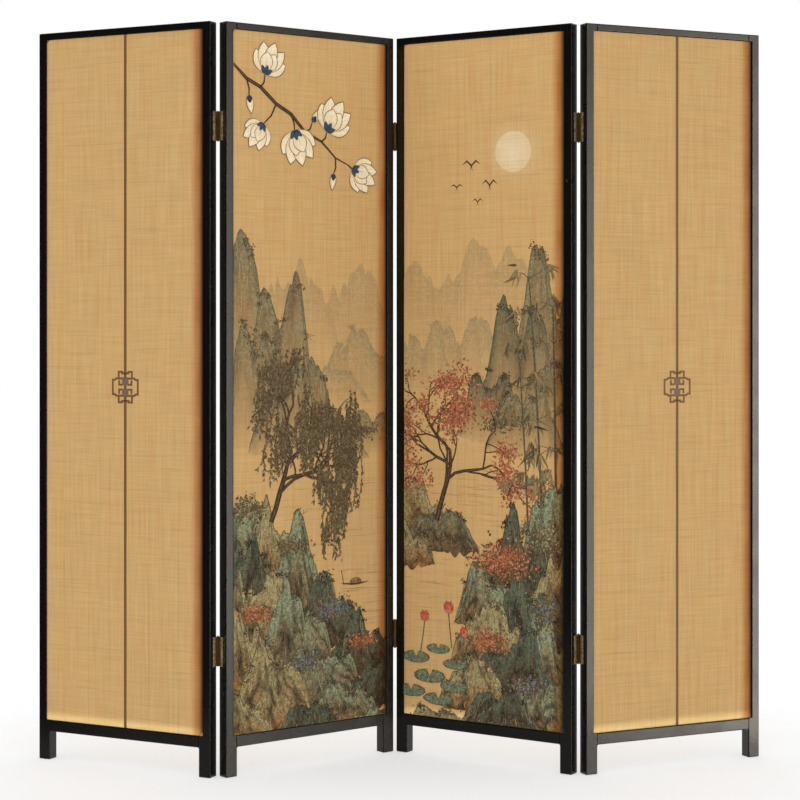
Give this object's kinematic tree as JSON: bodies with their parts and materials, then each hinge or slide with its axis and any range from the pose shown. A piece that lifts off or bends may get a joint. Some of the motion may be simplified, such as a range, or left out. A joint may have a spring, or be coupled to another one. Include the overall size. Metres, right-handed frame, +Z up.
{
  "type": "folding screen",
  "caption": "Free-standing byobu folding screen of hinged lacquered wooden panels covered in woven cloth, which folds in a zigzag to stand, divide a room or pack flat",
  "frame": {"origin": "on the floor, at the middle of the standing screen's footprint", "axes": "+Z up, +X along the screen to the right seen from the front, -Y towards its front"},
  "size_m": [1.7916, 0.3268, 1.8],
  "materials": {
    "black_lacquered_wood": "black lacquer, satin, on straight-grained wood",
    "core_wood": "planed softwood laths, unfinished",
    "backing_board": "thin board, unfinished",
    "linen_cloth": "coarse slubbed weave, matt, glued flat",
    "antique_brass": "aged brass, satin",
    "brass_screws": "aged brass, slotted countersunk heads"
  },
  "bodies": {
    "panel_1": {"hinge_1_lower_left_leaf": "antique_brass", "hinge_1_lower_pin": "antique_brass", "hinge_1_upper_left_leaf": "antique_brass", "hinge_1_upper_pin": "antique_brass", "panel_1_back_backing": "backing_board", "panel_1_back_cloth": "linen_cloth", "panel_1_bottom_rail": "black_lacquered_wood", "panel_1_core_lattice": "core_wood", "panel_1_front_backing": "backing_board", "panel_1_front_cloth": "linen_cloth", "panel_1_hinge_screws": "brass_screws", "panel_1_left_post": "black_lacquered_wood", "panel_1_right_post": "black_lacquered_wood", "panel_1_top_rail": "black_lacquered_wood"},
    "panel_2": {"hinge_1_lower_right_leaf": "antique_brass", "hinge_1_upper_right_leaf": "antique_brass", "hinge_2_lower_left_leaf": "antique_brass", "hinge_2_lower_pin": "antique_brass", "hinge_2_upper_left_leaf": "antique_brass", "hinge_2_upper_pin": "antique_brass", "panel_2_back_backing": "backing_board", "panel_2_back_cloth": "linen_cloth", "panel_2_bottom_rail": "black_lacquered_wood", "panel_2_core_lattice": "core_wood", "panel_2_front_backing": "backing_board", "panel_2_front_cloth": "linen_cloth", "panel_2_hinge_screws": "brass_screws", "panel_2_left_post": "black_lacquered_wood", "panel_2_right_post": "black_lacquered_wood", "panel_2_top_rail": "black_lacquered_wood"},
    "panel_3": {"hinge_2_lower_right_leaf": "antique_brass", "hinge_2_upper_right_leaf": "antique_brass", "hinge_3_lower_left_leaf": "antique_brass", "hinge_3_lower_pin": "antique_brass", "hinge_3_upper_left_leaf": "antique_brass", "hinge_3_upper_pin": "antique_brass", "panel_3_back_backing": "backing_board", "panel_3_back_cloth": "linen_cloth", "panel_3_bottom_rail": "black_lacquered_wood", "panel_3_core_lattice": "core_wood", "panel_3_front_backing": "backing_board", "panel_3_front_cloth": "linen_cloth", "panel_3_hinge_screws": "brass_screws", "panel_3_left_post": "black_lacquered_wood", "panel_3_right_post": "black_lacquered_wood", "panel_3_top_rail": "black_lacquered_wood"},
    "panel_4": {"hinge_3_lower_right_leaf": "antique_brass", "hinge_3_upper_right_leaf": "antique_brass", "panel_4_back_backing": "backing_board", "panel_4_back_cloth": "linen_cloth", "panel_4_bottom_rail": "black_lacquered_wood", "panel_4_core_lattice": "core_wood", "panel_4_front_backing": "backing_board", "panel_4_front_cloth": "linen_cloth", "panel_4_hinge_screws": "brass_screws", "panel_4_left_post": "black_lacquered_wood", "panel_4_right_post": "black_lacquered_wood", "panel_4_top_rail": "black_lacquered_wood"}
  },
  "joints": [
    {"name": "fold_1", "type": "hinge", "parent": "panel_2", "child": "panel_1", "pos_m": [-0.43469, -0.1353, 0], "axis": [0, 0, 1], "range_deg": [-116.5, 63.5]},
    {"name": "fold_2", "type": "hinge", "parent": "panel_2", "child": "panel_3", "pos_m": [-0.01251, 0.13726, 0], "axis": [0, 0, 1], "range_deg": [-110.5, 69.5]},
    {"name": "fold_3", "type": "hinge", "parent": "panel_3", "child": "panel_4", "pos_m": [0.42976, -0.10134, 0], "axis": [0, 0, -1], "range_deg": [-122.5, 57.5]}
  ]
}
